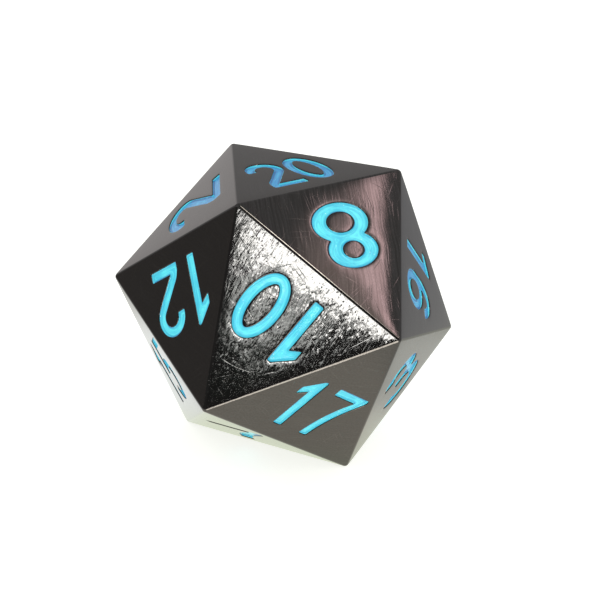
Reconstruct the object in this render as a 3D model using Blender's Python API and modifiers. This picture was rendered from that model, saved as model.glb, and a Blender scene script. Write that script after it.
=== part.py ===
"""A metal twenty-sided die whose numerals are cast as grooves and filled with enamel.

The casting is one icosahedron with lightly rounded edges. Every digit has its own groove, and every
groove holds its own inlay of enamel, sunk a little below the face. The die rests on the face that
reads 1, so the 20 is on top.

Frame: +Z up, origin at the centre of the resting face, +Y towards the top of the numeral 20.
"""

import math

import bmesh
import bpy
from mathutils import Matrix, Vector
from mathutils.geometry import delaunay_2d_cdt

MM = 0.001

# The casting
FACE_TO_FACE = 20.0 * MM
EDGE_SETBACK = 0.14 * MM  # how far the rounding of an edge reaches into each face
EDGE_SEGMENTS = 1

# The grooves and the enamel in them
GROOVE_DEPTH = 0.40 * MM
CUTTER_RISE = 0.20 * MM  # how far a cutter stands above its face
ENAMEL_SINK = 0.10 * MM  # the enamel's surface below the face
ENAMEL_GAP = 0.01 * MM  # clearance between an inlay and its groove

# The digits, measured on a face that holds two of them
DIGIT_WIDTH = 2.66 * MM
DIGIT_HEIGHT = 4.74 * MM
STROKE = 0.66 * MM
PAIR_PITCH = 2.74 * MM  # between the centres of the two digits
WIDE_PAIR_PITCH = 2.88 * MM  # the same, where the tens digit isn't a slim 1
SINGLE_STRETCH = 1.62  # a digit alone on its face is this much wider
NUMERAL_SHIFT = Vector((-0.05 * MM, -0.10 * MM))  # from the face's centre to the numeral's
# The same, for the numerals that sit a little off the others' pattern
OFF_PATTERN_SHIFTS = {8: Vector((0.06 * MM, -0.12 * MM)), 10: Vector((0.10 * MM, 0.09 * MM))}
MARK_WIDTH = 2.2 * MM  # the bar under the 6 and the 9
MARK_HEIGHT = 0.5 * MM
MARK_DROP = 0.35 * MM  # from the digit's foot to the bar

ARC_STEP = 18.0  # degrees between the points of a round stroke
WELD = 0.0001 * MM
EXACT_DECIMALS = 8  # of a metre

# Half sizes of a digit: of its outline, and of the centre line of its strokes
HALF_STROKE = STROKE / 2
OUTER_X = DIGIT_WIDTH / 2
OUTER_Y = DIGIT_HEIGHT / 2
LINE_X = OUTER_X - HALF_STROKE
LINE_Y = OUTER_Y - HALF_STROKE

# Circumscribed over inscribed radius of an icosahedron
CORNER_RATIO = math.sqrt(15 - 6 * math.sqrt(5))
CENTRE_HEIGHT = FACE_TO_FACE / 2
CORNER_RADIUS = CENTRE_HEIGHT * CORNER_RATIO

# The numerals of one half of the die. Each has the corner that its top points to, then the face's other
# two corners. N and S are the poles, U0 to U4 the upper ring and L0 to L4 the lower one.
NUMERAL_CORNERS = {
    20: ("U0", "U4", "N"),
    2: ("U1", "U0", "N"),
    12: ("U2", "U1", "N"),
    10: ("U2", "U3", "N"),
    8: ("U3", "U4", "N"),
    16: ("L3", "U4", "U3"),
    3: ("U3", "L3", "L2"),
    17: ("U3", "U2", "L2"),
    7: ("U2", "L2", "L1"),
    15: ("U1", "U2", "L1"),
}
OPPOSITE_SUM = 21
TOP_NUMERAL = 20
MARKED_NUMERALS = (6, 9)

METAL = {"color": (0.085, 0.083, 0.082, 1.0), "metallic": 1.0, "roughness": 0.12}
ENAMEL = {"color": (0.045, 0.60, 0.87, 1.0), "metallic": 0.0, "roughness": 0.25}


# ---------------------------------------------------------------- digits as centre lines and outlines


def arc(centre_x, centre_y, radius_x, radius_y, start, end):
    """Points of an elliptical arc, from start to end in degrees."""
    steps = max(1, round(abs(end - start) / ARC_STEP))
    angles = [math.radians(start + (end - start) * i / steps) for i in range(steps + 1)]
    return [Vector((centre_x + radius_x * math.cos(a), centre_y + radius_y * math.sin(a))) for a in angles]


def bend(start, pull, end, steps=5):
    """Points of a quadratic curve from start to end, drawn towards pull."""
    points = []
    for i in range(steps + 1):
        t = i / steps
        points.append(start * (1 - t) ** 2 + pull * 2 * t * (1 - t) + end * t**2)
    return points


def offset(points, distance, closed):
    """The points moved to the left of their path, with mitred corners."""
    moved = []
    for i, point in enumerate(points):
        before = points[i - 1] if closed or i > 0 else None
        after = points[(i + 1) % len(points)] if closed or i + 1 < len(points) else None
        incoming = (point - before).normalized() if before else None
        outgoing = (after - point).normalized() if after else incoming
        incoming = incoming or outgoing
        tangent = (incoming + outgoing).normalized()
        mitre = distance / tangent.dot(outgoing)
        moved.append(point + Vector((-tangent.y, tangent.x)) * mitre)
    return moved


def ribbon(points, closed=False):
    """A stroke along the points, as one four-sided area for each stretch of it."""
    left = offset(points, HALF_STROKE, closed)
    right = offset(points, -HALF_STROKE, closed)
    ends = list(range(1, len(points))) + ([0] if closed else [])
    return [[right[start], right[end], left[end], left[start]] for start, end in enumerate(ends)]


def ring(centre_x, centre_y, radius_x, radius_y):
    return ribbon(arc(centre_x, centre_y, radius_x, radius_y, 0, 360)[:-1], closed=True)


def area(*corners):
    """One straight-sided area, its corners given as fractions of the digit's half size."""
    return [Vector((x * OUTER_X, y * OUTER_Y)) for x, y in corners]


# How high a bar along a digit's foot reaches, and how low one along its head, over the half height
BAR_FOOT = STROKE / OUTER_Y - 1
BAR_HEAD = 1 - STROKE / OUTER_Y

# The waist where the two rounds of a 3 or an 8 meet, and the rounds above and below it
WAIST_Y = 0.03 * DIGIT_HEIGHT
UPPER_X = 0.84 * LINE_X
UPPER_RY = (LINE_Y - WAIST_Y) / 2
UPPER_Y = WAIST_Y + UPPER_RY
LOWER_RY = (LINE_Y + WAIST_Y) / 2
LOWER_Y = WAIST_Y - LOWER_RY


def digit_0():
    return ring(0, 0, LINE_X, LINE_Y)


def digit_1():
    left = -0.28
    right = 0.22
    return [area((left, -1), (right, -1), (right, 1), (0.04, 1), (-0.80, 0.54), (-0.80, 0.26), (left, 0.46))]


def digit_2():
    heel_radius = 1.1 * LINE_X
    bowl = arc(0, LINE_Y - LINE_X, LINE_X, LINE_X, 188, -34)
    heel = arc(heel_radius - LINE_X, -LINE_Y, heel_radius, heel_radius, 130, 180)
    foot = area((-1, -1), (1, -1), (1, BAR_FOOT), (-1, BAR_FOOT))
    return ribbon(bowl + heel + [Vector((-LINE_X, -OUTER_Y))]) + [foot]


def digit_3():
    tongue = Vector((-0.35 * LINE_X, WAIST_Y))
    upper = arc(0, UPPER_Y, UPPER_X, UPPER_RY, 165, -90)
    lower = arc(0, LOWER_Y, LINE_X, LOWER_RY, 90, -165)
    return ribbon(upper + [tongue]) + ribbon([tongue] + lower)


def digit_4():
    stem = area((0.12, -1), (0.62, -1), (0.62, 1), (0.12, 1))
    bar = area((-1, -0.50), (1, -0.50), (1, -0.22), (-1, -0.22))
    slope = area((-1, -0.22), (-0.46, -0.22), (0.62, 1), (0.12, 1))
    return [stem, bar, slope]


def digit_5():
    bowl_ry = 0.62 * LINE_Y
    bowl_y = bowl_ry - LINE_Y
    bowl = arc(0, bowl_y, LINE_X, bowl_ry, 150, -155)
    corner = Vector((-0.75 * LINE_X, LINE_Y))
    neck = [Vector((0.9 * OUTER_X, LINE_Y)), corner, Vector((-0.88 * LINE_X, -0.1 * OUTER_Y))]
    return ribbon(neck) + ribbon(bowl)


def digit_6():
    bowl_ry = (LINE_Y + 0.09 * DIGIT_HEIGHT) / 2
    bowl_y = bowl_ry - LINE_Y
    tail_y = 0.06 * DIGIT_HEIGHT
    tail = arc(0, tail_y, LINE_X, LINE_Y - tail_y, 30, 180)
    bowl = arc(0, bowl_y, LINE_X, bowl_ry, 180, 540)
    return ribbon(tail + bowl)


def digit_7():
    under_bar, inner_pull, inner_foot = area((0.43, BAR_HEAD), (-0.42, -0.05), (-0.58, -1))
    outer_foot, outer_pull, bar_end = area((-0.10, -1), (0.02, -0.10), (1, 0.85))
    inner = bend(under_bar, inner_pull, inner_foot)
    outer = bend(outer_foot, outer_pull, bar_end)
    return [inner + outer + area((1, 1), (-1, 1), (-1, BAR_HEAD))]


def digit_8():
    return ring(0, UPPER_Y, UPPER_X, UPPER_RY) + ring(0, LOWER_Y, LINE_X, LOWER_RY)


def digit_9():
    return [[-point for point in piece] for piece in digit_6()]


DIGITS = (digit_0, digit_1, digit_2, digit_3, digit_4, digit_5, digit_6, digit_7, digit_8, digit_9)


def underline():
    """The bar that tells a 6 from a 9, below a digit that is alone on its face."""
    top = -OUTER_Y - MARK_DROP
    half = MARK_WIDTH / 2
    corners = ((-half, top - MARK_HEIGHT), (half, top - MARK_HEIGHT), (half, top), (-half, top))
    return [Vector(corner) for corner in corners]


def union_triangles(pieces):
    """The areas merged into one, as triangles over a shared list of points."""
    points = []
    faces = []
    for piece in pieces:
        faces.append(list(range(len(points), len(points) + len(piece))))
        points += [point / MM for point in piece]
    merged, _, triangles, _, _, sources = delaunay_2d_cdt(points, [], faces, 1, 1e-5)
    inside = [triangle for triangle, source in zip(triangles, sources) if source]
    return [Vector(point) * MM for point in merged], inside


def outline_loops(pieces):
    """The outlines of the merged areas: outer ones run counter-clockwise, holes clockwise."""
    points, triangles = union_triangles(pieces)
    edges = {(t[i], t[(i + 1) % 3]) for t in triangles for i in range(3)}
    following = {a: b for a, b in edges if (b, a) not in edges}
    loops = []
    while following:
        start, current = following.popitem()
        loop = [points[start]]
        while current != start:
            loop.append(points[current])
            current = following.pop(current)
        loops.append(without_idle_points(loop))
    return loops


def without_idle_points(loop):
    """The loop without the points that lie on a straight stretch of it."""
    kept = []
    for i, point in enumerate(loop):
        side = (point - loop[i - 1]).normalized()
        after = (loop[(i + 1) % len(loop)] - point).normalized()
        if abs(side.cross(after)) > math.sin(math.radians(1)):
            kept.append(point)
    return kept


# ---------------------------------------------------------------------------------- solids from outlines


def solid_from_loops(name, loops, low, high):
    """A closed mesh object: the flat outlines, extruded from height low to height high."""
    curve = bpy.data.curves.new(name, "CURVE")
    curve.dimensions = "2D"
    curve.fill_mode = "BOTH"
    curve.extrude = (high - low) / 2
    for loop in loops:
        spline = curve.splines.new("POLY")
        spline.points.add(len(loop) - 1)
        for spot, point in zip(spline.points, loop):
            spot.co = (point.x, point.y, 0, 1)
        spline.use_cyclic_u = True
    flat = bpy.data.objects.new(name, curve)
    bpy.context.scene.collection.objects.link(flat)
    mesh = bpy.data.meshes.new_from_object(flat.evaluated_get(bpy.context.evaluated_depsgraph_get()))
    bpy.data.objects.remove(flat)
    bpy.data.curves.remove(curve)
    weld(mesh, Matrix.Translation((0, 0, (high + low) / 2)))
    mesh.name = name
    return bpy.data.objects.new(name, mesh)


def weld(mesh, placing):
    """Joins a curve's loose caps to its sides, and moves the mesh."""
    shape = bmesh.new()
    shape.from_mesh(mesh)
    bmesh.ops.remove_doubles(shape, verts=shape.verts, dist=WELD)
    bmesh.ops.recalc_face_normals(shape, faces=shape.faces)
    bmesh.ops.transform(shape, matrix=placing, verts=shape.verts)
    shape.to_mesh(mesh)
    shape.free()


# -------------------------------------------------------------------------------------- faces of the die


def corner(name):
    """A corner of the die, about its centre, with a pole on +Z."""
    if name in ("N", "S"):
        return Vector((0, 0, CORNER_RADIUS if name == "N" else -CORNER_RADIUS))
    upper = name[0] == "U"
    azimuth = math.radians(72 * int(name[1]) + (0 if upper else 36))
    height = CORNER_RADIUS / math.sqrt(5)
    level = height if upper else -height
    return Vector((2 * height * math.cos(azimuth), 2 * height * math.sin(azimuth), level))


def all_corners():
    rings = [corner(f"{ring}{i}") for ring in "UL" for i in range(5)]
    return rings + [corner("N"), corner("S")]


def face_frame(corners):
    """Where a numeral is drawn: X to its right, Y to its top, Z out of the face, at the face's centre."""
    centre = sum(corners, Vector()) / 3
    top = (corners[0] - centre).normalized()
    outward = centre.normalized()
    right = top.cross(outward)
    turn = Matrix((right, top, outward)).transposed().to_4x4()
    return Matrix.Translation(centre) @ turn


def standing():
    """Takes the die from pole up, about its centre, to standing on a face with the 20 on top."""
    top = face_frame([corner(name) for name in NUMERAL_CORNERS[TOP_NUMERAL]])
    return Matrix.Translation((0, 0, CENTRE_HEIGHT)) @ top.to_3x3().inverted().to_4x4()


def face_frames():
    """The drawing frame of each numeral on the standing die. A face and its opposite add up to 21."""
    stand = standing()
    frames = {}
    for numeral, names in NUMERAL_CORNERS.items():
        corners = [corner(name) for name in names]
        frames[numeral] = stand @ face_frame(corners)
        frames[OPPOSITE_SUM - numeral] = stand @ face_frame([-point for point in corners])
    return dict(sorted(frames.items()))


def drawn(digit, stretch, middle):
    """A digit's outlines, stretched sideways, about a middle point in the face's frame."""
    loops = outline_loops(DIGITS[digit]())
    return [[Vector((point.x * stretch, point.y)) + middle for point in loop] for loop in loops]


def marks_of(numeral):
    """The separate marks of a numeral, each a name and its outlines in the face's frame."""
    middle = OFF_PATTERN_SHIFTS.get(numeral, NUMERAL_SHIFT)
    if numeral < 10:
        marks = {f"{numeral:02}": drawn(numeral, SINGLE_STRETCH, middle)}
        if numeral in MARKED_NUMERALS:
            marks[f"{numeral:02}_underline"] = [[point + middle for point in underline()]]
        return marks
    tens, ones = divmod(numeral, 10)
    half_pitch = Vector(((PAIR_PITCH if tens == 1 else WIDE_PAIR_PITCH) / 2, 0))
    return {
        f"{numeral}_tens": drawn(tens, 1, middle - half_pitch),
        f"{numeral}_ones": drawn(ones, 1, middle + half_pitch),
    }


# -------------------------------------------------------------------------------------- objects of the die


def new_material(name, color, metallic, roughness):
    material = bpy.data.materials.new(name)
    material.use_nodes = True
    shader = material.node_tree.nodes["Principled BSDF"]
    shader.inputs["Base Color"].default_value = color
    shader.inputs["Metallic"].default_value = metallic
    shader.inputs["Roughness"].default_value = roughness
    material.diffuse_color = color
    return material


def new_collection(name):
    collection = bpy.data.collections.new(name)
    bpy.context.scene.collection.children.link(collection)
    return collection


def clear_scene():
    for leftover in list(bpy.data.objects):
        bpy.data.objects.remove(leftover)


def add_seat(parts):
    """An empty at the centre of the resting face, which carries the whole die."""
    seat = bpy.data.objects.new("resting_point", None)
    parts.objects.link(seat)
    return seat


def place(obj, seat, frame, collection):
    collection.objects.link(obj)
    obj.parent = seat
    obj.matrix_local = frame


def stand_up(mesh):
    """Puts each vertex of a pole-up icosahedron at its exact corner of the standing die.

    The rounding makes the resting face exactly flat on z = 0.
    """
    stand = standing()
    corners = all_corners()
    for vertex in mesh.vertices:
        nearest = min(corners, key=lambda point: (point - vertex.co).length)
        vertex.co = [round(value, EXACT_DECIMALS) for value in stand @ nearest]


def add_body(seat, parts, cutters):
    """The casting: an icosahedron, its edges rounded, with the grooves cut out of it."""
    bpy.ops.mesh.primitive_ico_sphere_add(subdivisions=1, radius=CORNER_RADIUS)
    body = bpy.context.object
    body.name = "die_body"
    body.data.name = "die_body"
    stand_up(body.data)
    for collection in list(body.users_collection):
        collection.objects.unlink(body)
    place(body, seat, Matrix.Identity(4), parts)
    body.data.materials.append(new_material("black_nickel", **METAL))
    rounding = body.modifiers.new("rounded_edges", "BEVEL")
    rounding.limit_method = "NONE"
    rounding.width = EDGE_SETBACK
    rounding.segments = EDGE_SEGMENTS
    grooves = body.modifiers.new("numeral_grooves", "BOOLEAN")
    grooves.operation = "DIFFERENCE"
    grooves.solver = "EXACT"
    grooves.operand_type = "COLLECTION"
    grooves.collection = cutters


def add_mark(name, loops, frame, seat, parts, cutters):
    """One groove's cutter, and the enamel that lies in the groove."""
    cutter = solid_from_loops(f"cutter_{name}", loops, -GROOVE_DEPTH, CUTTER_RISE)
    cutter.display_type = "WIRE"
    cutter.hide_render = True
    place(cutter, seat, frame, cutters)
    inner = [offset(loop, ENAMEL_GAP, closed=True) for loop in loops]
    inlay = solid_from_loops(f"enamel_{name}", inner, ENAMEL_GAP - GROOVE_DEPTH, -ENAMEL_SINK)
    inlay.data.materials.append(new_material(f"enamel_{name}", **ENAMEL))
    place(inlay, seat, frame, parts)


def main():
    clear_scene()
    parts = new_collection("twenty_sided_die")
    cutters = new_collection("groove_cutters")
    cutters.hide_render = True
    seat = add_seat(parts)
    for numeral, frame in face_frames().items():
        for name, loops in marks_of(numeral).items():
            add_mark(name, loops, frame, seat, parts, cutters)
    add_body(seat, parts, cutters)


main()
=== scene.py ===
"""The looks of a metal twenty-sided die with enamelled numerals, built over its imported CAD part.

The casting and every inlay of enamel are built again, finer than in the CAD: rounded edges and corners,
softened rims, drafted groove walls, and enamel that climbs the walls of its groove. Lengths in the
geometry code are in millimetres, and a mesh is scaled to metres when it is made.
"""

import math

import bpy
import numpy as np
from mathutils import Matrix, Vector
from mathutils.geometry import delaunay_2d_cdt

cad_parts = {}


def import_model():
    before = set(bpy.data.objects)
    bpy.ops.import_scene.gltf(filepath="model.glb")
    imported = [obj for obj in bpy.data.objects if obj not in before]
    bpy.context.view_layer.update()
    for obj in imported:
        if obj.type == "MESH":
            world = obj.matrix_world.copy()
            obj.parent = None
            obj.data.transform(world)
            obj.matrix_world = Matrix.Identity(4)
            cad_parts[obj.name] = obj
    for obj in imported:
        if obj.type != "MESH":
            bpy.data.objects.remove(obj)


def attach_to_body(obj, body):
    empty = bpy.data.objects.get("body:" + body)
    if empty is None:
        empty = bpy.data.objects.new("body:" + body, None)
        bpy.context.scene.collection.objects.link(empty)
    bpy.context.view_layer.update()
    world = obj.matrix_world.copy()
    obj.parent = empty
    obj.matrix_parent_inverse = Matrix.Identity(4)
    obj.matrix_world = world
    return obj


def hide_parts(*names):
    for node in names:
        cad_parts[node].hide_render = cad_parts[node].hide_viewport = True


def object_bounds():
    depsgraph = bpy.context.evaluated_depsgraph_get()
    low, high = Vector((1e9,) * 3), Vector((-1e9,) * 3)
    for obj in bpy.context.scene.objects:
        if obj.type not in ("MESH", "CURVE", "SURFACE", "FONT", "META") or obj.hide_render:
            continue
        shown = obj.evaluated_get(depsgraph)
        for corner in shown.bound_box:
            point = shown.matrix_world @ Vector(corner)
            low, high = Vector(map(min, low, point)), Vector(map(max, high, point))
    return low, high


MM = 0.001

# The casting
EDGE_RADIUS = 0.36
EDGE_STEPS = 8  # facets across the rounding of an edge
CORNER_RINGS = 5
SIDE_POINTS = 56  # along one side of a face
CROWN = 0.012  # how far the polishing took a face's border below its middle
CROWN_REACH = 0.5
FACE_GRID = 0.42  # between the points inside a face

# The grooves
RIM_RADIUS = 0.055
RIM_STEPS = 4
RIM_SINK = 0.008  # how far the polishing took the face down round a groove
RIM_REACH = 0.10
RIM_RINGS = (0.05, 0.13, 0.26)  # where the face has rings of points round a groove
RIM_LEAN = math.atan(RIM_SINK / RIM_REACH)
RIM_OPENING = RIM_RADIUS * (1 - math.sin(RIM_LEAN))
RIM_FOOT = RIM_SINK + RIM_RADIUS * math.cos(RIM_LEAN)  # how far below the face the straight wall starts
GROOVE_DEPTH = 0.40
GROOVE_DRAFT = 0.03  # how much narrower a groove is at its floor, on each side

# The enamel
ENAMEL_GAP = 0.004
ENAMEL_TOP = 0.07  # where it meets the wall, below the face
ENAMEL_DIP = 0.085  # how much lower it lies away from the walls
ENAMEL_REACH = 0.05  # how quickly it falls away from them
ENAMEL_RINGS = (0.015, 0.04, 0.09)  # where it has rings of points inside its outlines
ENAMEL_GRID = 0.085
ENAMEL_RIPPLE = 0.006

# The finish of the metal. Depths and sizes are in millimetres, and a count is how many waves a pattern has in
# a millimetre, along the brush lines and across them. What starts with WORN is added on scuffed faces.
GRAIN_COUNT = (7.0, 12.0, 1.0)
GRAIN_DEPTH = 0.0005
WORN_GRAIN_DEPTH = 0.0011
BRUSH_COUNT = (0.22, 6.5, 1.0)
BRUSH_DEPTH = 0.0005
WORN_BRUSH_DEPTH = 0.003
WORN_DIMPLE_COUNT = (0.9, 1.4, 1.0)
WORN_DIMPLE_DEPTH = 0.018
WAVE_COUNT = 0.45
WAVE_DEPTH = 0.004
WORN_FACET_SIZE = 0.075
WORN_FACET_SLOPE = 0.036
FACET_STRETCH = 0.6  # width across the brush lines over length along them
DUST_COUNT = 0.55
SCRATCH_DEPTH = 0.0006
WORN_SCRATCH_DEPTH = 0.0015
# The layers of scratches: direction in degrees, length and spacing of the cells that hold them, share of the
# cells with one, and width as a share of the spacing
SCRATCHES = (
    (3, 3.2, 0.10, 0.20, 0.30),
    (-12, 4.0, 0.09, 0.10, 0.28),
    (38, 3.0, 0.10, 0.06, 0.30),
    (-64, 3.6, 0.11, 0.05, 0.28),
    (82, 5.0, 0.10, 0.03, 0.28),
)
# Faces whose polish is scuffed all over, and those that kept the lines of the brush. The others are plain.
SCUFFED_FACES = (4, 10, 19)
BRUSHED_FACES = (1, 8, 14)

# The digits, measured on a face that holds two of them
DIGIT_WIDTH = 2.66
DIGIT_HEIGHT = 4.74
STROKE = 0.66
PAIR_PITCH = 2.74
WIDE_PAIR_PITCH = 2.88  # where the tens digit isn't a slim 1
SINGLE_STRETCH = 1.62  # a digit alone on its face is this much wider
NUMERAL_SHIFT = Vector((-0.05, -0.10))
# The same, for the numerals that sit a little off the others' pattern
OFF_PATTERN_SHIFTS = {8: Vector((0.06, -0.12)), 10: Vector((0.10, 0.09))}
MARK_WIDTH = 2.2
MARK_HEIGHT = 0.5
MARK_DROP = 0.35
ARC_STEP = 6.0  # degrees between the points of a round stroke
OUTLINE_STEP = 0.065  # between the points of a finished outline
OUTLINE_BLUR = 0.06  # how far a digit's sharp corners are softened

HALF_STROKE = STROKE / 2
OUTER_X = DIGIT_WIDTH / 2
OUTER_Y = DIGIT_HEIGHT / 2
LINE_X = OUTER_X - HALF_STROKE
LINE_Y = OUTER_Y - HALF_STROKE
BAR_FOOT = STROKE / OUTER_Y - 1
BAR_HEAD = 1 - STROKE / OUTER_Y
WAIST_Y = 0.03 * DIGIT_HEIGHT
UPPER_X = 0.84 * LINE_X
UPPER_RY = (LINE_Y - WAIST_Y) / 2
UPPER_Y = WAIST_Y + UPPER_RY
LOWER_RY = (LINE_Y + WAIST_Y) / 2
LOWER_Y = WAIST_Y - LOWER_RY

# Circumscribed over inscribed radius of an icosahedron
CORNER_RATIO = math.sqrt(15 - 6 * math.sqrt(5))
WELD = 1e-4
NUDGE = 0.01  # how far past an outline a distance is measured from, so that it has a direction on the outline
FAR = 5.0  # stands for the distance to a groove where none is near

# Each numeral's face: the corner its top points to, then the other two. N and S are the poles, U0 to U4
# the upper ring and L0 to L4 the lower one. A face and its opposite add up to 21.
NUMERAL_CORNERS = {
    20: ("U0", "U4", "N"),
    2: ("U1", "U0", "N"),
    12: ("U2", "U1", "N"),
    10: ("U2", "U3", "N"),
    8: ("U3", "U4", "N"),
    16: ("L3", "U4", "U3"),
    3: ("U3", "L3", "L2"),
    17: ("U3", "U2", "L2"),
    7: ("U2", "L2", "L1"),
    15: ("U1", "U2", "L1"),
}
OPPOSITE_SUM = 21
TOP_NUMERAL = 20
MARKED_NUMERALS = (6, 9)

# The camera, about the die's centre, in degrees and face-to-face sizes
CAMERA_DISTANCE = 3.46
CAMERA_AZIMUTH = -34.82
CAMERA_ELEVATION = 25.89
CAMERA_AIM = Vector((0.738, -0.439, 0.151))  # from the die's centre
CAMERA_ROLL = 1.24
CAMERA_LENS = 57.12
CAMERA_SENSOR = 36.0

FLOOR_SIZE = 3.0  # metres
FACE_PITCH = 40.0  # between two faces in texture space
BRUSH_START = -46.0  # degrees, the direction of a face's brush lines, and its change from numeral to numeral
BRUSH_TURN = 14.5
# Patches of the studio that the faces mirror: azimuth, elevation, inner and outer radius in degrees, radiance
FLAGS = (
    (143, 0, 16, 26, (0.215, 0.205, 0.20)),
    (-175, 8, 22, 34, (0.12, 0.12, 0.12)),
    (-80, 36, 20, 32, (0.10, 0.10, 0.10)),
    (82, 0, 10, 24, (0.69, 0.66, 0.655)),
    (54, 19, 9, 20, (0.395, 0.385, 0.385)),
    (22, -38, 12, 24, (0.56, 0.57, 0.50)),
    (-110, -22, 12, 24, (6.5, 6.2, 5.6)),
    (-130, 6, 14, 20, (0.08, 0.08, 0.08)),
    (-61, 52, 4, 9, (16.0, 15.0, 13.5)),
)
# Edges of the soft boxes, each through two directions. The side box has a brighter strip along one edge.
# The front box is a strip between two edges, with a glow beside it.
SIDE_BOX_EDGE = ((-29.4, 51.8), (-21.4, 50.7))
STRIP_EDGE = ((-32.5, 45.1), (-19.7, 48.8))
SIDE_BOX_END = ((-28.0, 55.0), (-33.0, 46.0))
FRONT_BOX_EDGE = ((-134.0, 15.8), (-124.0, 11.9))
FRONT_BOX_END = ((-134.0, 23.0), (-123.0, 16.0))
LIT_FLOOR = (0.014, 0.026)  # metres from the die: reflections see the lit floor within, and the studio beyond


# --- digits


def arc(centre_x, centre_y, radius_x, radius_y, start, end):
    """Points of an elliptical arc, from start to end in degrees."""
    steps = max(1, round(abs(end - start) / ARC_STEP))
    angles = [math.radians(start + (end - start) * i / steps) for i in range(steps + 1)]
    return [Vector((centre_x + radius_x * math.cos(a), centre_y + radius_y * math.sin(a))) for a in angles]


def bend(start, pull, end, steps=14):
    """Points of a quadratic curve from start to end, drawn towards pull."""
    ts = [i / steps for i in range(steps + 1)]
    return [start * (1 - t) ** 2 + pull * 2 * t * (1 - t) + end * t**2 for t in ts]


def offset(points, distance, closed):
    """The points moved to the left of their path, with mitred corners."""
    moved = []
    for i, point in enumerate(points):
        before = points[i - 1] if closed or i > 0 else None
        after = points[(i + 1) % len(points)] if closed or i + 1 < len(points) else None
        incoming = (point - before).normalized() if before else None
        outgoing = (after - point).normalized() if after else incoming
        incoming = incoming or outgoing
        tangent = (incoming + outgoing).normalized()
        mitre = distance / tangent.dot(outgoing)
        moved.append(point + Vector((-tangent.y, tangent.x)) * mitre)
    return moved


def ribbon(points, closed=False):
    """A stroke along the points, as one four-sided area for each stretch of it."""
    left = offset(points, HALF_STROKE, closed)
    right = offset(points, -HALF_STROKE, closed)
    ends = list(range(1, len(points))) + ([0] if closed else [])
    return [[right[start], right[end], left[end], left[start]] for start, end in enumerate(ends)]


def ring(centre_x, centre_y, radius_x, radius_y):
    return ribbon(arc(centre_x, centre_y, radius_x, radius_y, 0, 360)[:-1], closed=True)


def area(*corners):
    """One straight-sided area, its corners given as fractions of the digit's half size."""
    return [Vector((x * OUTER_X, y * OUTER_Y)) for x, y in corners]


def digit_0():
    return ring(0, 0, LINE_X, LINE_Y)


def digit_1():
    left = -0.28
    right = 0.22
    return [area((left, -1), (right, -1), (right, 1), (0.04, 1), (-0.80, 0.54), (-0.80, 0.26), (left, 0.46))]


def digit_2():
    heel_radius = 1.1 * LINE_X
    bowl = arc(0, LINE_Y - LINE_X, LINE_X, LINE_X, 188, -34)
    heel = arc(heel_radius - LINE_X, -LINE_Y, heel_radius, heel_radius, 130, 180)
    foot = area((-1, -1), (1, -1), (1, BAR_FOOT), (-1, BAR_FOOT))
    return ribbon(bowl + heel + [Vector((-LINE_X, -OUTER_Y))]) + [foot]


def digit_3():
    tongue = Vector((-0.35 * LINE_X, WAIST_Y))
    upper = arc(0, UPPER_Y, UPPER_X, UPPER_RY, 165, -90)
    lower = arc(0, LOWER_Y, LINE_X, LOWER_RY, 90, -165)
    return ribbon(upper + [tongue]) + ribbon([tongue] + lower)


def digit_4():
    stem = area((0.12, -1), (0.62, -1), (0.62, 1), (0.12, 1))
    bar = area((-1, -0.50), (1, -0.50), (1, -0.22), (-1, -0.22))
    slope = area((-1, -0.22), (-0.46, -0.22), (0.62, 1), (0.12, 1))
    return [stem, bar, slope]


def digit_5():
    bowl_ry = 0.62 * LINE_Y
    bowl_y = bowl_ry - LINE_Y
    bowl = arc(0, bowl_y, LINE_X, bowl_ry, 150, -155)
    corner_point = Vector((-0.75 * LINE_X, LINE_Y))
    neck = [Vector((0.9 * OUTER_X, LINE_Y)), corner_point, Vector((-0.88 * LINE_X, -0.1 * OUTER_Y))]
    return ribbon(neck) + ribbon(bowl)


def digit_6():
    bowl_ry = (LINE_Y + 0.09 * DIGIT_HEIGHT) / 2
    bowl_y = bowl_ry - LINE_Y
    tail_y = 0.06 * DIGIT_HEIGHT
    tail = arc(0, tail_y, LINE_X, LINE_Y - tail_y, 30, 180)
    bowl = arc(0, bowl_y, LINE_X, bowl_ry, 180, 540)
    return ribbon(tail + bowl)


def digit_7():
    under_bar, inner_pull, inner_foot = area((0.43, BAR_HEAD), (-0.42, -0.05), (-0.58, -1))
    outer_foot, outer_pull, bar_end = area((-0.10, -1), (0.02, -0.10), (1, 0.85))
    inner = bend(under_bar, inner_pull, inner_foot)
    outer = bend(outer_foot, outer_pull, bar_end)
    return [inner + outer + area((1, 1), (-1, 1), (-1, BAR_HEAD))]


def digit_8():
    return ring(0, UPPER_Y, UPPER_X, UPPER_RY) + ring(0, LOWER_Y, LINE_X, LOWER_RY)


def digit_9():
    return [[-point for point in piece] for piece in digit_6()]


DIGITS = (digit_0, digit_1, digit_2, digit_3, digit_4, digit_5, digit_6, digit_7, digit_8, digit_9)


def underline():
    """The bar that tells a 6 from a 9, below a digit that is alone on its face."""
    top = -OUTER_Y - MARK_DROP
    half = MARK_WIDTH / 2
    corners = ((-half, top - MARK_HEIGHT), (half, top - MARK_HEIGHT), (half, top), (-half, top))
    return [Vector(point) for point in corners]


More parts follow.
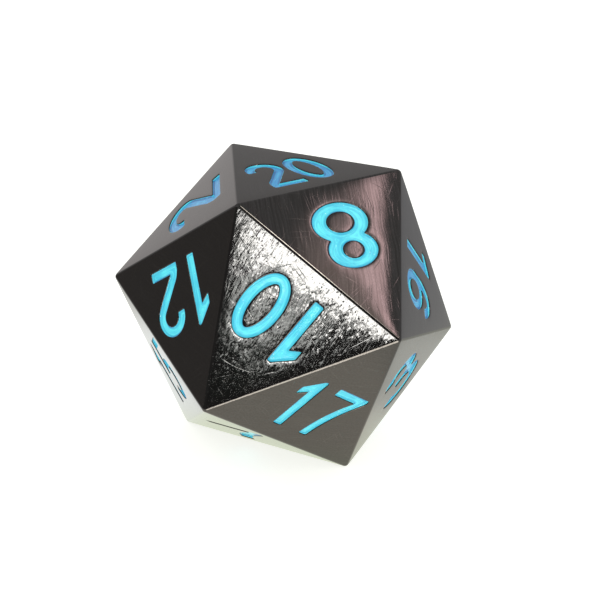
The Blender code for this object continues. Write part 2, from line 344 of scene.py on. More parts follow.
def outline_loops(pieces):
    """The outlines of the areas merged into one: outer ones run counter-clockwise, holes clockwise."""
    points = [point for piece in pieces for point in piece]
    starts = np.cumsum([0] + [len(piece) for piece in pieces])
    faces = [list(range(start, end)) for start, end in zip(starts, starts[1:])]
    merged, _, triangles, _, _, sources = delaunay_2d_cdt(points, [], faces, 1, 1e-5)
    inside = [triangle for triangle, source in zip(triangles, sources) if source]
    edges = {(t[i], t[(i + 1) % 3]) for t in inside for i in range(3)}
    following = {a: b for a, b in sorted(edges) if (b, a) not in edges}
    loops = []
    while following:
        start = next(iter(following))
        current = following.pop(start)
        loop = [merged[start]]
        while current != start:
            loop.append(merged[current])
            current = following.pop(current)
        loops.append(np.array(loop))
    return loops


def softened(loop):
    """The outline with evenly spaced points and its sharp corners softened."""
    closed = np.vstack([loop, loop[:1]])
    along = np.concatenate([[0], np.cumsum(np.linalg.norm(np.diff(closed, axis=0), axis=1))])
    count = max(12, round(along[-1] / OUTLINE_STEP))
    spots = np.arange(count) * along[-1] / count
    even = np.stack([np.interp(spots, along, closed[:, axis]) for axis in range(2)], axis=1)
    reach = 4
    offsets = np.arange(-reach, reach + 1)
    weights = np.exp(-0.5 * (offsets * along[-1] / count / OUTLINE_BLUR) ** 2)
    weights /= weights.sum()
    return sum(weight * np.roll(even, shift, axis=0) for weight, shift in zip(weights, offsets))


def drawn(digit, stretch, middle):
    """A digit's outlines, stretched sideways, about a middle point in the face's frame."""
    scale = np.array((stretch, 1.0))
    return [softened(loop * scale) + np.array(middle) for loop in outline_loops(DIGITS[digit]())]


def marks_of(numeral):
    """The separate marks of a numeral, each a name and its outlines in the face's frame."""
    middle = OFF_PATTERN_SHIFTS.get(numeral, NUMERAL_SHIFT)
    if numeral < 10:
        marks = {f"{numeral:02}": drawn(numeral, SINGLE_STRETCH, middle)}
        if numeral in MARKED_NUMERALS:
            bar = np.array([point + middle for point in underline()])
            marks[f"{numeral:02}_underline"] = [softened(bar)]
        return marks
    tens, ones = divmod(numeral, 10)
    half_pitch = Vector(((PAIR_PITCH if tens == 1 else WIDE_PAIR_PITCH) / 2, 0))
    return {
        f"{numeral}_tens": drawn(tens, 1, middle - half_pitch),
        f"{numeral}_ones": drawn(ones, 1, middle + half_pitch),
    }


# --- faces of the die


def corner(name, radius):
    """A corner of an icosahedron, about its centre, with a pole on +Z."""
    if name in ("N", "S"):
        return Vector((0, 0, radius if name == "N" else -radius))
    upper = name[0] == "U"
    azimuth = math.radians(72 * int(name[1]) + (0 if upper else 36))
    height = radius / math.sqrt(5)
    level = height if upper else -height
    return Vector((2 * height * math.cos(azimuth), 2 * height * math.sin(azimuth), level))


def face_turn(corners):
    """The directions of a numeral's right, top and front, as the columns of a matrix."""
    centre = sum(corners, Vector()) / 3
    top = (corners[0] - centre).normalized()
    outward = centre.normalized()
    return np.array(Matrix((top.cross(outward), top, outward)).transposed())


def standing_turn():
    """Turns the die from pole up to standing with the 20 on top."""
    return face_turn([corner(name, 1.0) for name in NUMERAL_CORNERS[TOP_NUMERAL]]).T


def faces_of_die():
    """Each numeral's face: its turn, and the directions of its three corners, on the standing die."""
    stand = standing_turn()
    faces = {}
    for numeral, names in NUMERAL_CORNERS.items():
        corners = [corner(name, 1.0) for name in names]
        for number, points in ((numeral, corners), (OPPOSITE_SUM - numeral, [-p for p in corners])):
            directions = [stand @ np.array(point) for point in points]
            faces[number] = (stand @ face_turn(points), directions)
    return dict(sorted(faces.items()))


# --- mesh making


class Surface:
    """A mesh gathered patch by patch. Points that meet are joined, and each patch keeps its own normals."""

    def __init__(self):
        self.points = []
        self.normals = []
        self.spots = []
        self.apart = []
        self.triangles = []
        self.count = 0

    def add(self, points, normals, spots, triangles, apart=FAR):
        """Points with normals, places in texture space and distances from a groove's wall, and triangles."""
        self.points.append(points)
        self.normals.append(normals)
        self.spots.append(spots)
        self.apart.append(np.broadcast_to(apart, len(points)))
        self.triangles.append(np.asarray(triangles, int) + self.count)
        self.count += len(points)

    def add_rows(self, points, normals, spots, closed, apart=FAR):
        """A patch woven from rows of equally many points, apart being one distance for each row."""
        rows, across = points.shape[:2]
        columns = np.arange(across if closed else across - 1)
        after = (columns + 1) % across
        woven = []
        for row in range(rows - 1):
            low = row * across
            high = low + across
            woven.append(np.stack([low + columns, low + after, high + after], axis=1))
            woven.append(np.stack([low + columns, high + after, high + columns], axis=1))
        apart = np.repeat(np.broadcast_to(apart, rows), across)
        self.add(points.reshape(-1, 3), normals.reshape(-1, 3), spots.reshape(-1, 2), np.vstack(woven), apart)

    def to_object(self, name):
        points = np.vstack(self.points)
        normals = np.vstack(self.normals)
        spots = np.vstack(self.spots)
        triangles = outward(points, normals, np.vstack(self.triangles))
        _, first, index = np.unique(np.round(points / WELD), axis=0, return_index=True, return_inverse=True)
        index = index.reshape(-1)
        joined = index[triangles]
        whole = (joined != np.roll(joined, 1, axis=1)).all(axis=1)
        triangles = triangles[whole]
        mesh = bpy.data.meshes.new(name)
        mesh.from_pydata((points[first] * MM).tolist(), [], joined[whole].tolist())
        apart = np.concatenate(self.apart)
        for layer, places in (("face_mm", spots), ("wall_mm", np.column_stack([apart, apart]))):
            uvs = mesh.uv_layers.new(name=layer).uv
            uvs.foreach_set("vector", places[triangles].astype(np.float32).ravel())
        mesh.polygons.foreach_set("use_smooth", np.ones(len(triangles), bool))
        mesh.normals_split_custom_set(unit(normals)[triangles].reshape(-1, 3).tolist())
        obj = bpy.data.objects.new(name, mesh)
        bpy.context.scene.collection.objects.link(obj)
        return obj


def unit(vectors):
    return vectors / np.linalg.norm(vectors, axis=-1, keepdims=True)


def outward(points, normals, triangles):
    """The triangles, each turned so that it faces the way its normals point."""
    a, b, c = (points[triangles[:, i]] for i in range(3))
    facing = np.einsum("ij,ij->i", np.cross(b - a, c - a), normals[triangles].sum(axis=1))
    return np.where(facing[:, None] < 0, triangles[:, ::-1], triangles)


def signed_area(loop):
    x, y = loop.T
    return 0.5 * float(np.sum(x * np.roll(y, -1) - np.roll(x, -1) * y))


def filled(loops, extra):
    """Triangles over the area that the loops enclose. It lies to the left of each loop."""
    signs = [1 if signed_area(loop) > 0 else -1 for loop in loops]
    starts = np.cumsum([0] + [len(loop) for loop in loops])
    faces = [list(range(start, end))[::sign] for start, end, sign in zip(starts, starts[1:], signs)]
    points = [Vector(point) for point in np.vstack([*loops, extra])]
    merged, _, triangles, _, _, sources = delaunay_2d_cdt(points, [], faces, 0, 1e-6)
    kept = [t for t, source in zip(triangles, sources) if sum(signs[i] for i in source) == 1]
    return np.array(merged), kept


def nearest(points, loops):
    """The distance from each point to the outlines, and the direction away from them."""
    starts = np.vstack(loops)
    ends = np.vstack([np.roll(loop, -1, axis=0) for loop in loops])
    along = ends - starts
    share = np.einsum("psi,si->ps", points[:, None] - starts, along) / np.einsum("si,si->s", along, along)
    apart = points[:, None] - (starts + np.clip(share, 0, 1)[..., None] * along)
    distances = np.linalg.norm(apart, axis=2)
    closest = distances.argmin(axis=1)
    picked = np.arange(len(points))
    distance = distances[picked, closest]
    return distance, apart[picked, closest] / np.maximum(distance, 1e-9)[:, None]


def from_walls(points, loops):
    """The distance from an area's points to its outlines, and the direction away, also for points on them."""
    return nearest(points, loops)[0], nearest(points, [shifted(loop, NUDGE) for loop in loops])[1]


def inside(points, loops):
    """Whether each point is in the area enclosed by the loops, by counting the crossings of a ray."""
    crossings = np.zeros(len(points), int)
    for loop in loops:
        a, b = loop, np.roll(loop, -1, axis=0)
        straddles = (a[:, 1] > points[:, None, 1]) != (b[:, 1] > points[:, None, 1])
        rise = np.where(b[:, 1] == a[:, 1], 1e-12, b[:, 1] - a[:, 1])
        cut = a[:, 0] + (points[:, None, 1] - a[:, 1]) / rise * (b[:, 0] - a[:, 0])
        crossings += (straddles & (points[:, None, 0] < cut)).sum(axis=1)
    return crossings % 2 == 1


def grid_inside(loops, spacing):
    """A staggered grid of points inside the loops, none of them close to an outline."""
    everything = np.vstack(loops)
    low, high = everything.min(axis=0), everything.max(axis=0)
    rise = spacing * math.sqrt(3) / 2
    rows = enumerate(np.arange(low[1] + rise / 2, high[1], rise))
    columns = np.arange(low[0], high[0], spacing)
    points = np.array([(x + (i % 2) * spacing / 2, y) for i, y in rows for x in columns])
    points = points[inside(points, loops)]
    return points[nearest(points, loops)[0] > 0.45 * spacing]


# --- casting


class Die:
    """The measures of the rounded die. An inner icosahedron with a ball rolled over it is its surface."""

    def __init__(self, face_to_face):
        self.height = face_to_face / 2
        self.inner_height = self.height - EDGE_RADIUS
        self.inner_corner = self.inner_height * CORNER_RATIO
        self.triangle = math.sqrt(self.inner_corner**2 - self.inner_height**2)  # centre to corner of a face
        self.faces = faces_of_die()
        self.centre = np.array((0, 0, self.height))

    def corners_2d(self):
        angles = np.radians((90, 210, 330))
        return self.triangle * np.stack([np.cos(angles), np.sin(angles)], axis=1)

    def border_2d(self):
        """The outline of a face's flat, counter-clockwise, evenly divided."""
        corners = self.corners_2d()
        shares = (np.arange(SIDE_POINTS) / SIDE_POINTS)[:, None]
        sides = [a + (b - a) * shares for a, b in zip(corners, np.roll(corners, -1, axis=0))]
        return np.vstack(sides)

    def sink(self, spots):
        """How far each point of a face lies below its plane, and the slope of the face there."""
        corners = self.corners_2d()
        total = np.zeros(len(spots))
        slope = np.zeros_like(spots)
        for a, b in zip(corners, np.roll(corners, -1, axis=0)):
            outer = unit(a + b)
            gap = (a @ outer) - spots @ outer
            depth = CROWN * np.exp(-np.maximum(gap, 0) / CROWN_REACH)
            total += depth
            slope += (depth / CROWN_REACH)[:, None] * outer
        return total, slope

    def on_face(self, numeral, spots, heights, slopes):
        """Points and normals in the row's frame from places on a face, heights above it and slopes."""
        turn = self.faces[numeral][0]
        sink, tilt = self.sink(spots)
        local = np.column_stack([spots, self.height - sink + heights])
        normals = np.column_stack([slopes[:, :2] + tilt, slopes[:, 2]])
        return local @ turn.T + self.centre, unit(normals) @ turn.T


def texture_spots(numeral, spots):
    """Places in texture space, where each face has its own region, turned so that brush lines run along X.

    Brushed faces are in the first row of regions, plain ones in the second and scuffed ones in the third.
    """
    turn = math.radians(BRUSH_START + BRUSH_TURN * numeral)
    turned = spots @ np.array(((math.cos(turn), -math.sin(turn)), (math.sin(turn), math.cos(turn))))
    row = 0 if numeral in BRUSHED_FACES else 2 if numeral in SCUFFED_FACES else 1
    return turned + np.array(((numeral - 0.5) * FACE_PITCH, (row + 0.5) * FACE_PITCH))


def shifted(loop, distance):
    """The outline moved outwards from the area it encloses, less far where that would fold it over."""
    side = np.roll(loop, -1, axis=0) - loop
    before = np.roll(side, 1, axis=0)
    length = np.linalg.norm(side, axis=1)
    turning = (before[:, 0] * side[:, 1] - before[:, 1] * side[:, 0]) / length**3
    closing = np.maximum(-turning * np.sign(distance), 1e-6)
    for _ in range(2):
        closing = np.maximum(closing, np.maximum(np.roll(closing, 1), np.roll(closing, -1)))
    amount = np.minimum(abs(distance), 0.7 / closing)
    amount = (np.roll(amount, 1) + amount + np.roll(amount, -1)) / 3
    return loop + leaning(loop) * (amount * np.sign(distance))[:, None]


def leaning(loop):
    """The direction out of the enclosed area at each point of an outline."""
    along = unit(np.roll(loop, -1, axis=0) - np.roll(loop, 1, axis=0))
    return np.column_stack([along[:, 1], -along[:, 0]])


def groove_profile():
    """The wall of a groove from the face down: outward shift, height, lean out and rise of the normal.

    The normal points into the groove, which is against the outward direction.
    """
    profile = []
    for step in range(RIM_STEPS + 1):
        angle = RIM_LEAN + (math.pi / 2 - RIM_LEAN) * step / RIM_STEPS
        out = RIM_RADIUS * (1 - math.sin(angle))
        profile.append((out, RIM_RADIUS * math.cos(angle) - RIM_FOOT, -math.sin(angle), math.cos(angle)))
    profile.append((-GROOVE_DRAFT, -GROOVE_DEPTH, -1.0, 0.1))
    return profile


def add_groove(surface, die, numeral, loops):
    """The rim, wall and floor of one mark's groove."""
    profile = groove_profile()
    heights = [height for _, height, _, _ in profile]
    for loop in loops:
        out = leaning(loop)
        rows = []
        for shift, height, lean, rise in profile:
            moved = shifted(loop, shift)
            slopes = np.column_stack([out * lean, np.full(len(loop), rise)])
            placed = die.on_face(numeral, moved, np.full(len(loop), height), slopes)
            rows.append((*placed, texture_spots(numeral, moved)))
        surface.add_rows(*(np.array(part) for part in zip(*rows)), closed=True, apart=heights)
    floor_loops = [shifted(loop, profile[-1][0]) for loop in loops]
    merged, triangles = filled(floor_loops, np.empty((0, 2)))
    up = np.tile((0.0, 0.0, 1.0), (len(merged), 1))
    points, normals = die.on_face(numeral, merged, np.full(len(merged), -GROOVE_DEPTH), up)
    surface.add(points, normals, texture_spots(numeral, merged), triangles, -GROOVE_DEPTH)


def rings_round(outlines, loops):
    """Points round the grooves, left out where they come too close to another groove or the border."""
    rings = []
    for distance in RIM_RINGS:
        ring_points = np.vstack([shifted(outline, RIM_OPENING + distance)[::2] for outline in outlines])
        ring_points = ring_points[inside(ring_points, loops)]
        rings.append(ring_points[nearest(ring_points, loops)[0] > 0.8 * distance])
    return np.vstack(rings)


def add_flat(surface, die, numeral, marks):
    """A face, with an opening for each of its marks. It slopes down a little towards them."""
    outlines = [loop for loops in marks.values() for loop in loops]
    loops = [die.border_2d(), *(shifted(outline, RIM_OPENING)[::-1] for outline in outlines)]
    extra = np.vstack([rings_round(outlines, loops), grid_inside(loops, FACE_GRID)])
    merged, triangles = filled(loops, extra)
    apart, away = from_walls(merged, loops[1:])
    fall = np.exp(-apart / RIM_REACH)
    slopes = np.column_stack([-RIM_SINK / RIM_REACH * fall[:, None] * away, np.ones(len(merged))])
    points, normals = die.on_face(numeral, merged, -RIM_SINK * fall, slopes)
    surface.add(points, normals, texture_spots(numeral, merged), triangles, apart)


def bridging(first, second, steps):
    """Unit normals turning evenly from the first to the second."""
    angle = math.acos(float(first @ second))
    shares = np.arange(steps + 1) / steps
    weights = np.sin((1 - shares) * angle), np.sin(shares * angle)
    return (np.outer(weights[0], first) + np.outer(weights[1], second)) / math.sin(angle)


def shared_edges(die):
    """Each edge of the die: the two faces, and the two corner directions that they share."""
    found = []
    for a in die.faces:
        for b in die.faces:
            ends = [p for p in die.faces[a][1] for q in die.faces[b][1] if np.allclose(p, q, atol=1e-5)]
            if a < b and len(ends) == 2:
                found.append((a, b, ends))
    return found


def add_edge(surface, die, first, second, ends):
    """The rounding between two faces."""
    turns = [die.faces[numeral][0] for numeral in (first, second)]
    shares = (np.arange(SIDE_POINTS + 1) / SIDE_POINTS)[:, None]
    line = die.inner_corner * ((1 - shares) * ends[0] + shares * ends[1])
    spots = (line @ turns[0])[:, :2]
    reach = EDGE_RADIUS - die.sink(spots)[0]
    normals = bridging(turns[0][:, 2], turns[1][:, 2], EDGE_STEPS)
    points = line[None] + reach[None, :, None] * normals[:, None] + die.centre
    across = np.linspace(0, EDGE_RADIUS * 0.73, EDGE_STEPS + 1)[:, None, None]
    outer = unit(spots.mean(axis=0))
    places = texture_spots(first, spots[None] + across * outer)
    surface.add_rows(points, np.broadcast_to(normals[:, None], points.shape), places, closed=False)


def corners_of(die):
    """Each corner's direction, and the faces round it in order."""
    found = {}
    for numeral, (_, directions) in die.faces.items():
        for direction in directions:
            found.setdefault(tuple(np.round(direction, 3)), []).append(numeral)
    result = []
    for key, numerals in found.items():
        direction = next(d for d in die.faces[numerals[0]][1] if np.allclose(d, key, atol=2e-3))
        side = unit(np.cross(direction, (0.3, 0.5, 0.8)))
        other = np.cross(direction, side)
        normals = {n: die.faces[n][0][:, 2] for n in numerals}
        in_order = sorted(numerals, key=lambda n: math.atan2(normals[n] @ other, normals[n] @ side))
        result.append((direction, in_order))
    return result


def add_corner(surface, die, direction, numerals):
    """The ball-shaped patch where five faces meet."""
    normals = [die.faces[n][0][:, 2] for n in numerals]
    pairs = zip(normals, normals[1:] + normals[:1])
    border = np.vstack([bridging(a, b, EDGE_STEPS)[:-1] for a, b in pairs])
    shares = np.arange(CORNER_RINGS + 1) / CORNER_RINGS
    rows = unit((1 - shares)[:, None, None] * border[None] + shares[:, None, None] * direction)
    reach = EDGE_RADIUS - die.sink(die.corners_2d()[:1])[0][0]
    points = die.inner_corner * direction + reach * rows + die.centre
    turn = die.faces[numerals[0]][0]
    places = texture_spots(numerals[0], (points - die.centre) @ turn[:, :2])
    surface.add_rows(points, rows, places, closed=True)


def build_casting(die, marks):
    surface = Surface()
    for numeral, of_face in marks.items():
        add_flat(surface, die, numeral, of_face)
        for loops in of_face.values():
            add_groove(surface, die, numeral, loops)
    for first, second, ends in shared_edges(die):
        add_edge(surface, die, first, second, ends)
    for direction, numerals in corners_of(die):
        add_corner(surface, die, direction, numerals)
    return surface.to_object("polished_casting")


# --- enamel


def wall_shift(height):
    """How far the groove's wall is from the outline at a height below the face."""
    return -GROOVE_DRAFT * (-RIM_FOOT - height) / (GROOVE_DEPTH - RIM_FOOT)


def build_enamel(die, numeral, name, loops):
    """One inlay. Its surface climbs the walls and lies lower along the middle of the stroke."""
    surface = Surface()
    rim = [shifted(loop, wall_shift(-ENAMEL_TOP) - ENAMEL_GAP) for loop in loops]
    foot_height = ENAMEL_GAP - GROOVE_DEPTH
    foot = [shifted(loop, wall_shift(foot_height) - ENAMEL_GAP) for loop in loops]
    inner = [[shifted(loop, -distance) for loop in rim] for distance in ENAMEL_RINGS]
    rings = np.vstack([loop for loops_in in inner for loop in loops_in])
    rings = rings[inside(rings, rim)]
    rings = rings[nearest(rings, rim)[0] > 0.8 * ENAMEL_RINGS[0]]
    merged, triangles = filled(rim, np.vstack([rings, grid_inside(inner[-1], ENAMEL_GRID)]))
    apart, away = from_walls(merged, rim)
    fall = np.exp(-apart / ENAMEL_REACH)
    wave = ENAMEL_RIPPLE * np.sin(2.1 * merged[:, 0] + numeral) * np.sin(1.7 * merged[:, 1] + 2 * numeral)
    heights = -ENAMEL_TOP - ENAMEL_DIP * (1 - fall) + wave * (1 - fall)
    lean = (ENAMEL_DIP / ENAMEL_REACH * fall)[:, None] * away
    slopes = np.column_stack([lean, np.ones(len(merged))])
    points, normals = die.on_face(numeral, merged, heights, slopes)
    surface.add(points, normals, texture_spots(numeral, merged), triangles, apart)
    for top, bottom in zip(rim, foot):
        sides = np.column_stack([leaning(top), np.zeros(len(top))])
        rows = [
            (*die.on_face(numeral, loop, np.full(len(loop), height), sides), texture_spots(numeral, loop))
            for loop, height in ((top, -ENAMEL_TOP), (bottom, foot_height))
        ]
        surface.add_rows(*(np.array(part) for part in zip(*rows)), closed=True)
    merged, triangles = filled(foot, np.empty((0, 2)))
    down = np.tile((0.0, 0.0, -1.0), (len(merged), 1))
    points, normals = die.on_face(numeral, merged, np.full(len(merged), foot_height), down)
    surface.add(points, normals, texture_spots(numeral, merged), triangles)
    return surface.to_object(f"enamel_fill_{name}")


# --- shader graphs


class Graph:
    """Short ways to add nodes to a node tree."""

    def __init__(self, tree):
        self.tree = tree
        tree.nodes.clear()

    def node(self, kind, inputs=None, **settings):
        made = self.tree.nodes.new(kind)
        for name, value in settings.items():
            setattr(made, name, value)
        for key, value in (inputs or {}).items():
            if isinstance(value, bpy.types.NodeSocket):
                self.tree.links.new(value, made.inputs[key])
            else:
                made.inputs[key].default_value = value
        return made

    def math(self, operation, *values):
        made = self.node("ShaderNodeMath", dict(enumerate(values)), operation=operation)
        return made.outputs[0]

    def add(self, a, b):
        return self.math("ADD", a, b)

    def times(self, a, b):
        return self.math("MULTIPLY", a, b)

    def vector(self, operation, a, b):
        made = self.node("ShaderNodeVectorMath", {0: a, 1: b}, operation=operation)
        return made.outputs["Value" if operation == "DOT_PRODUCT" else "Vector"]

    def uv(self, name):
        return self.node("ShaderNodeUVMap", uv_map=name).outputs[0]

    def part(self, vector, axis):
        return self.node("ShaderNodeSeparateXYZ", {0: vector}).outputs[axis]

    def ramp(self, value, low, high, bottom=0.0, top=1.0):
        """Maps value from low..high smoothly to bottom..top, held beyond them."""
        inputs = {"Value": value, "From Min": low, "From Max": high, "To Min": bottom, "To Max": top}
        return self.node("ShaderNodeMapRange", inputs, interpolation_type="SMOOTHSTEP").outputs["Result"]

    def mix(self, share, a, b):
        return self.node("ShaderNodeMix", {0: share, 6: a, 7: b}, data_type="RGBA").outputs[2]

    def noise(self, vector, scale, detail=2.0, roughness=0.5):
        inputs = {"Vector": vector, "Scale": scale, "Detail": detail, "Roughness": roughness}
        return self.node("ShaderNodeTexNoise", inputs).outputs[0]

    def cells(self, vector, scale):
        """The distance to the nearest of many scattered points."""
        return self.node("ShaderNodeTexVoronoi", {"Vector": vector, "Scale": scale}).outputs["Distance"]

    def bump(self, height):
        """The normals of a relief, its height in millimetres."""
        return self.node("ShaderNodeBump", {"Height": height, "Strength": 1.0, "Distance": MM}).outputs[0]


def colour(red, green, blue):
    return (red, green, blue, 1.0)


def material_graph(name):
    """A new material and its empty graph."""
    material = bpy.data.materials.new(name)
    material.use_nodes = True
    return material, Graph(material.node_tree)


def dashes(graph, spots, turn, length, spacing, share, width):
    """Straight tapering scratches, in a share of many long thin cells: 1 along a scratch, 0 outside."""
    placing = {"Vector": spots, "Rotation": (0, 0, math.radians(turn)), "Location": (7.3 * share, turn, 0)}
    placed = graph.node("ShaderNodeMapping", placing, vector_type="POINT").outputs[0]
    strands = graph.vector("MULTIPLY", placed, (1 / length, 1 / spacing, 1.0))
    cells = graph.node("ShaderNodeTexVoronoi", {"Vector": strands, "Scale": 1.0}, voronoi_dimensions="2D")
    chance = graph.node("ShaderNodeSeparateColor", {0: cells.outputs["Color"]}).outputs[0]
    line = graph.ramp(cells.outputs["Distance"], width, 0.0)
    return graph.times(line, graph.math("LESS_THAN", chance, share))


def facets(graph, spots, size):
    """A height that makes small flat facets, most of them nearly level and a few of slope 1."""
    stretched = graph.vector("MULTIPLY", spots, (FACET_STRETCH / size, 1 / size, 0.0))
    cells = graph.node("ShaderNodeTexVoronoi", {"Vector": stretched, "Scale": 1.0}, voronoi_dimensions="2D")
    apart = graph.vector("SUBTRACT", stretched, cells.outputs["Position"])
    chance = graph.vector("SUBTRACT", cells.outputs["Color"], (0.5, 0.5, 0.5))
    squared = graph.vector("MULTIPLY", chance, chance)
    slope = graph.vector("MULTIPLY", graph.vector("MULTIPLY", squared, squared), chance)
    steepest = 1 / 0.5**5
    reach = graph.vector("MULTIPLY", apart, (steepest * size / FACET_STRETCH, steepest * size, 0.0))
    return graph.vector("DOT_PRODUCT", reach, slope)


def metal_relief(graph, spots, curved, scuffed, grain, brushed, scratches):
    """The height of the metal's finish in millimetres."""
    patches = graph.ramp(graph.noise(spots, 0.45, 2.0), 0.36, 0.64, 0.45, 1.0)
    facet_slope = graph.times(graph.times(scuffed, patches), WORN_FACET_SLOPE)
    relief = graph.times(facets(graph, curved, WORN_FACET_SIZE), facet_slope)
    grain_depth = graph.add(graph.times(scuffed, WORN_GRAIN_DEPTH), GRAIN_DEPTH)
    relief = graph.add(relief, graph.times(grain, grain_depth))
    brush_depth = graph.add(graph.times(scuffed, WORN_BRUSH_DEPTH), BRUSH_DEPTH)
    relief = graph.add(relief, graph.times(brushed, brush_depth))
    dimples = graph.noise(graph.vector("MULTIPLY", spots, WORN_DIMPLE_COUNT), 1.0)
    relief = graph.add(relief, graph.times(dimples, graph.times(scuffed, WORN_DIMPLE_DEPTH)))
    scratch_depth = graph.add(graph.times(scuffed, WORN_SCRATCH_DEPTH), SCRATCH_DEPTH)
    relief = graph.math("SUBTRACT", relief, graph.times(scratches, scratch_depth))
    return graph.add(relief, graph.times(graph.noise(spots, WAVE_COUNT, 1.0), WAVE_DEPTH))


def metal_material():
    """Polished black nickel with brush lines, scuffs, hairline scratches, dust, and duller groove walls
    darkened as painted shade.
    """
    material, graph = material_graph("black_nickel_polish")
    spots = graph.uv("face_mm")
    row = graph.part(spots, 1)
    scuffed = graph.math("GREATER_THAN", row, 2 * FACE_PITCH)
    lined = graph.math("LESS_THAN", row, FACE_PITCH)
    wander = graph.noise(spots, 0.25, 1.0)
    curved = graph.vector("ADD", spots, graph.vector("MULTIPLY", wander, (0.8, 0.8, 0.0)))

    scratches = 0.0
    for layer in SCRATCHES:
        scratches = graph.math("MAXIMUM", scratches, dashes(graph, curved, *layer))
    grain = graph.noise(graph.vector("MULTIPLY", curved, GRAIN_COUNT), 1.0, 3.0, 0.65)
    brushed = graph.noise(graph.vector("MULTIPLY", curved, BRUSH_COUNT), 1.0, 2.0, 0.6)
    relief = metal_relief(graph, spots, curved, scuffed, grain, brushed, scratches)

    apart = graph.uv("wall_mm")
    # How far down a groove wall a point lies: it makes the wall duller and carries the wall's painted shade
    groove_wall_dullness_and_shade = graph.ramp(graph.part(apart, 0), -0.02, -0.07)
    roughness = graph.ramp(graph.noise(spots, 0.5, 4.0, 0.6), 0.35, 0.7, 0.035, 0.07)
    roughness = graph.add(roughness, graph.times(scratches, 0.10))
    roughness = graph.add(roughness, graph.times(groove_wall_dullness_and_shade, 0.35))

    streaks = graph.times(graph.ramp(brushed, 0.36, 0.64), graph.ramp(lined, 0.0, 1.0, 0.18, 1.0))
    dust = graph.ramp(graph.cells(spots, DUST_COUNT), 0.030, 0.012)
    worn = graph.math("MAXIMUM", graph.times(scratches, 0.3), graph.ramp(bevel_share(graph), 0.10, 0.5))
    base = colour(0.109, 0.104, 0.100)
    for share, tint in (
        (streaks, colour(0.073, 0.069, 0.065)),
        (graph.ramp(grain, 0.30, 0.70, 0.0, 0.5), colour(0.064, 0.060, 0.056)),
        (graph.times(dust, 0.8), colour(0.26, 0.26, 0.25)),
        (worn, colour(0.17, 0.165, 0.155)),
        # painted shade: the groove walls darkened down in the recess
        (groove_wall_dullness_and_shade, colour(0.018, 0.024, 0.030)),
    ):
        base = graph.mix(share, base, tint)
    look = {"Base Color": base, "Metallic": 1.0, "Roughness": roughness, "Normal": graph.bump(relief)}
    shader = graph.node("ShaderNodeBsdfPrincipled", look)
    graph.node("ShaderNodeOutputMaterial", {0: shader.outputs[0]})
    return material


def bevel_share(graph):
    """How strongly the surface curves within a tenth of a millimetre, which is near an edge."""
    rounded = graph.node("ShaderNodeBevel", {"Radius": 0.12 * MM}, samples=4).outputs[0]
    flat = graph.node("ShaderNodeNewGeometry").outputs["Normal"]
    return graph.math("SUBTRACT", 1.0, graph.math("ABSOLUTE", graph.vector("DOT_PRODUCT", rounded, flat)))


def enamel_material():
    """Glossy light blue enamel: streaks along its strokes, ripples, a few painted glints, painted shade near
    the walls, and a darker painted-shade colour seen aslant.
    """
    material, graph = material_graph("glossy_blue_enamel")
    spots = graph.uv("face_mm")
    apart = graph.uv("wall_mm")
    across = graph.vector("MULTIPLY", apart, (14.0, 0.0, 0.0))
    along = graph.vector("MULTIPLY", spots, (0.7, 0.7, 0.0))
    streaks = graph.noise(graph.vector("ADD", across, along), 1.0, 2.0, 0.6)
    blotches = graph.noise(spots, 1.1)
    tone = graph.ramp(graph.add(graph.times(streaks, 0.7), graph.times(blotches, 0.3)), 0.38, 0.62)
    depth = graph.part(apart, 0)
    # painted shade along the groove walls, fading out again right at the wall
    painted_wall_shade = graph.times(graph.ramp(depth, 0.18, 0.07), graph.ramp(depth, 0.0, 0.04))
    straight = graph.mix(tone, colour(0.050, 0.61, 0.82), colour(0.125, 0.86, 0.95))
    # the face-on colour, darker near the walls as painted shade
    straight = graph.mix(graph.times(painted_wall_shade, 0.45), straight, colour(0.030, 0.42, 0.68))
    # A darker copy of the colour, painted shade for a stroke seen aslant, where the groove walls hide and
    # shade it; darkest near the walls
    aslant_shaded_colour = graph.mix(tone, colour(0.022, 0.26, 0.60), colour(0.060, 0.46, 0.78))
    aslant_shaded_colour = graph.mix(painted_wall_shade, aslant_shaded_colour, colour(0.010, 0.14, 0.40))
    slant = graph.node("ShaderNodeLayerWeight", {"Blend": 0.5}).outputs["Facing"]
    # the painted shade shows at middling slants, and fades face on and at the most grazing
    aslant_shade_share = graph.times(graph.ramp(slant, 0.35, 0.68), graph.ramp(slant, 0.90, 0.78))
    base = graph.mix(aslant_shade_share, straight, aslant_shaded_colour)
    # Small white dots painted into the colour in some patches: painted glints
    glint_patches = graph.ramp(graph.noise(spots, 0.9, 1.0), 0.46, 0.52)
    painted_glints = graph.times(graph.ramp(graph.cells(spots, 3.2), 0.12, 0.05), glint_patches)
    base = graph.mix(graph.times(painted_glints, 0.8), base, colour(0.85, 0.97, 1.0))
    pits = graph.ramp(graph.cells(spots, 3.4), 0.0, 0.12)
    ripple = graph.add(graph.noise(spots, 3.0), graph.times(pits, 0.5))
    normal = graph.bump(graph.add(graph.times(ripple, 0.008), graph.times(streaks, 0.004)))
    look = {"Base Color": base, "Roughness": 0.30, "IOR": 1.45, "Coat Weight": 0.25, "Coat Roughness": 0.08}
    shader = graph.node("ShaderNodeBsdfPrincipled", {**look, "Normal": normal, "Coat Normal": normal})
    graph.node("ShaderNodeOutputMaterial", {0: shader.outputs[0]})
    return material


